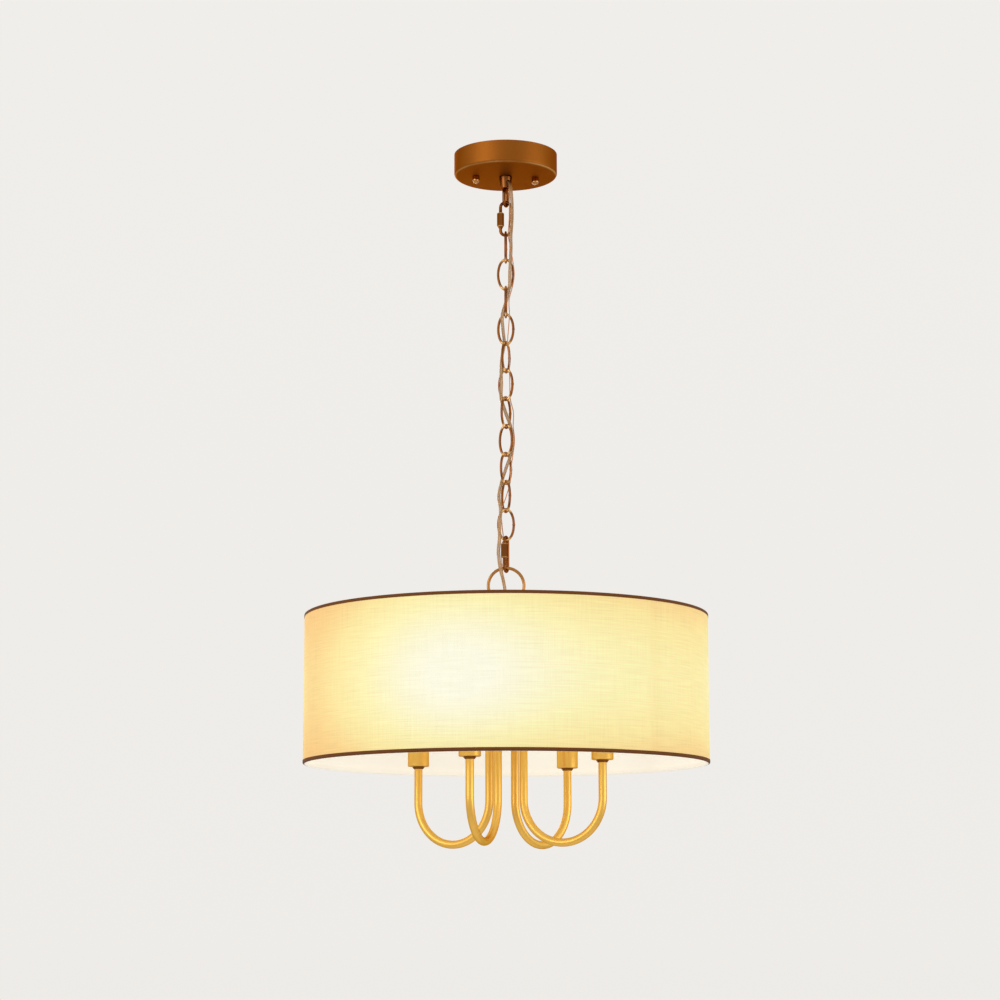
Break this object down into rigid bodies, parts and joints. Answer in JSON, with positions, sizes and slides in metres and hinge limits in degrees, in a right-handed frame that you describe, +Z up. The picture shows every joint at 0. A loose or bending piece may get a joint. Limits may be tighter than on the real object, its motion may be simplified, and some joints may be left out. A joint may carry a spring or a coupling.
{
  "type": "drum chandelier",
  "caption": "Drum shade chandelier: ceiling canopy, oval-link chain with woven cord, top ring, fabric drum, hub and U-shaped arms with sleeved candle sockets.",
  "frame": {"origin": "middle of the canopy's rim, in the plane of the ceiling it hangs from", "axes": "+Z up, along the chain; +X runs through the first arm's hole in the hub and +Y through the second's"},
  "size_m": [0.5, 0.5, 0.8792],
  "materials": {
    "satin_brass": "satin lacquered brass",
    "zinc_steel": "zinc-plated steel",
    "green_screw": "green painted screw",
    "white_wire": "white painted steel wire",
    "cream_linen": "cream linen over a clear lining, lit from inside",
    "lampholder_white": "white moulded lampholder",
    "lit_bulb": "frosted candle bulb, lit",
    "clear_cord": "clear insulation over copper",
    "bare_copper": "bare copper"
  },
  "bodies": {
    "lamp": {"arm_1": "satin_brass", "arm_2": "satin_brass", "arm_3": "satin_brass", "arm_4": "satin_brass", "cup_washer_1": "satin_brass", "cup_washer_2": "satin_brass", "cup_washer_3": "satin_brass", "cup_washer_4": "satin_brass", "hub": "satin_brass", "hub_cover": "satin_brass", "hub_nut": "zinc_steel", "lampholder_1": "lampholder_white", "lampholder_2": "lampholder_white", "lampholder_3": "lampholder_white", "lampholder_4": "lampholder_white", "shade": "cream_linen", "shade_bottom_ring": "white_wire", "shade_spider": "white_wire", "socket_cup_1": "satin_brass", "socket_cup_2": "satin_brass", "socket_cup_3": "satin_brass", "socket_cup_4": "satin_brass", "spider_nut": "zinc_steel", "stem": "zinc_steel", "top_ring": "satin_brass"},
    "bulb_1": {"bulb_1": "lit_bulb"},
    "bulb_2": {"bulb_2": "lit_bulb"},
    "bulb_3": {"bulb_3": "lit_bulb"},
    "bulb_4": {"bulb_4": "lit_bulb"},
    "ceiling_canopy": {"canopy": "satin_brass", "canopy_loop": "satin_brass", "canopy_nipple": "zinc_steel", "canopy_screw_1": "zinc_steel", "canopy_screw_2": "zinc_steel", "cap_nut_1": "satin_brass", "cap_nut_2": "satin_brass", "crossbar": "zinc_steel", "earth_wire": "bare_copper", "ground_screw": "green_screw", "nipple_nut": "zinc_steel", "power_cord": "clear_cord", "screw_nut_1": "zinc_steel", "screw_nut_2": "zinc_steel"},
    "chain_link_01": {"chain_link_01": "satin_brass"},
    "chain_link_02": {"chain_link_02": "satin_brass"},
    "chain_link_03": {"chain_link_03": "satin_brass"},
    "chain_link_04": {"chain_link_04": "satin_brass"},
    "chain_link_05": {"chain_link_05": "satin_brass"},
    "chain_link_06": {"chain_link_06": "satin_brass"},
    "chain_link_07": {"chain_link_07": "satin_brass"},
    "chain_link_08": {"chain_link_08": "satin_brass"},
    "chain_link_09": {"chain_link_09": "satin_brass"},
    "chain_link_10": {"chain_link_10": "satin_brass"},
    "chain_link_11": {"chain_link_11": "satin_brass"},
    "lower_quick_link": {"lower_quick_link": "satin_brass"},
    "lower_sleeve": {"lower_quick_link_sleeve": "satin_brass"},
    "upper_quick_link": {"upper_quick_link": "satin_brass"},
    "upper_sleeve": {"upper_quick_link_sleeve": "satin_brass"}
  },
  "joints": [
    {"name": "upper_quick_link_swing", "type": "hinge", "parent": "ceiling_canopy", "child": "upper_quick_link", "pos_m": [0, 0, -0.0671], "axis": [-0.1219, 0.9925, 0], "range_deg": [-30, 30], "deforming": ["power_cord", "earth_wire"]},
    {"name": "chain_link_01_swing", "type": "hinge", "parent": "upper_quick_link", "child": "chain_link_01", "pos_m": [0, 0, -0.106], "axis": [0.891, 0.454, 0], "range_deg": [-30, 30]},
    {"name": "chain_link_02_swing", "type": "hinge", "parent": "chain_link_01", "child": "chain_link_02", "pos_m": [0, 0, -0.14135], "axis": [0.4226, -0.9063, 0], "range_deg": [-30, 30]},
    {"name": "chain_link_03_swing", "type": "hinge", "parent": "chain_link_02", "child": "chain_link_03", "pos_m": [0, 0, -0.1771], "axis": [-0.9135, -0.4067, 0], "range_deg": [-30, 30]},
    {"name": "chain_link_04_swing", "type": "hinge", "parent": "chain_link_03", "child": "chain_link_04", "pos_m": [0, 0, -0.21285], "axis": [-0.4226, 0.9063, 0], "range_deg": [-30, 30]},
    {"name": "chain_link_05_swing", "type": "hinge", "parent": "chain_link_04", "child": "chain_link_05", "pos_m": [0, 0, -0.2486], "axis": [0.9563, 0.2924, 0], "range_deg": [-30, 30]},
    {"name": "chain_link_06_swing", "type": "hinge", "parent": "chain_link_05", "child": "chain_link_06", "pos_m": [0, 0, -0.28435], "axis": [-0.0175, -0.9998, 0], "range_deg": [-30, 30]},
    {"name": "chain_link_07_swing", "type": "hinge", "parent": "chain_link_06", "child": "chain_link_07", "pos_m": [0, 0, -0.3201], "axis": [-0.9976, 0.0698, 0], "range_deg": [-30, 30]},
    {"name": "chain_link_08_swing", "type": "hinge", "parent": "chain_link_07", "child": "chain_link_08", "pos_m": [0, 0, -0.35585], "axis": [0.1219, 0.9925, 0], "range_deg": [-30, 30]},
    {"name": "chain_link_09_swing", "type": "hinge", "parent": "chain_link_08", "child": "chain_link_09", "pos_m": [0, 0, -0.3916], "axis": [0.9816, -0.1908, 0], "range_deg": [-30, 30]},
    {"name": "chain_link_10_swing", "type": "hinge", "parent": "chain_link_09", "child": "chain_link_10", "pos_m": [0, 0, -0.42735], "axis": [-0.225, -0.9744, 0], "range_deg": [-30, 30]},
    {"name": "chain_link_11_swing", "type": "hinge", "parent": "chain_link_10", "child": "chain_link_11", "pos_m": [0, 0, -0.4631], "axis": [-0.8387, 0.5446, 0], "range_deg": [-30, 30]},
    {"name": "lower_quick_link_swing", "type": "hinge", "parent": "chain_link_11", "child": "lower_quick_link", "pos_m": [0, 0, -0.49885], "axis": [0.8572, 0.515, 0], "range_deg": [-30, 30]},
    {"name": "lamp_swing", "type": "hinge", "parent": "lower_quick_link", "child": "lamp", "pos_m": [0, 0, -0.53825], "axis": [-0.1564, 0.9877, 0], "range_deg": [-30, 30]},
    {"name": "upper_sleeve_screw", "type": "slide", "parent": "upper_quick_link", "child": "upper_sleeve", "axis": [0, 0, 1], "range_m": [0, 0.0065]},
    {"name": "lower_sleeve_screw", "type": "slide", "parent": "lower_quick_link", "child": "lower_sleeve", "axis": [0, 0, 1], "range_m": [-0.0065, 0]},
    {"name": "bulb_1_unscrew", "type": "slide", "parent": "lamp", "child": "bulb_1", "axis": [0, 0, 1], "range_m": [0, 0.028]},
    {"name": "bulb_2_unscrew", "type": "slide", "parent": "lamp", "child": "bulb_2", "axis": [0, 0, 1], "range_m": [0, 0.028]},
    {"name": "bulb_3_unscrew", "type": "slide", "parent": "lamp", "child": "bulb_3", "axis": [0, 0, 1], "range_m": [0, 0.028]},
    {"name": "bulb_4_unscrew", "type": "slide", "parent": "lamp", "child": "bulb_4", "axis": [0, 0, 1], "range_m": [0, 0.028]}
  ]
}
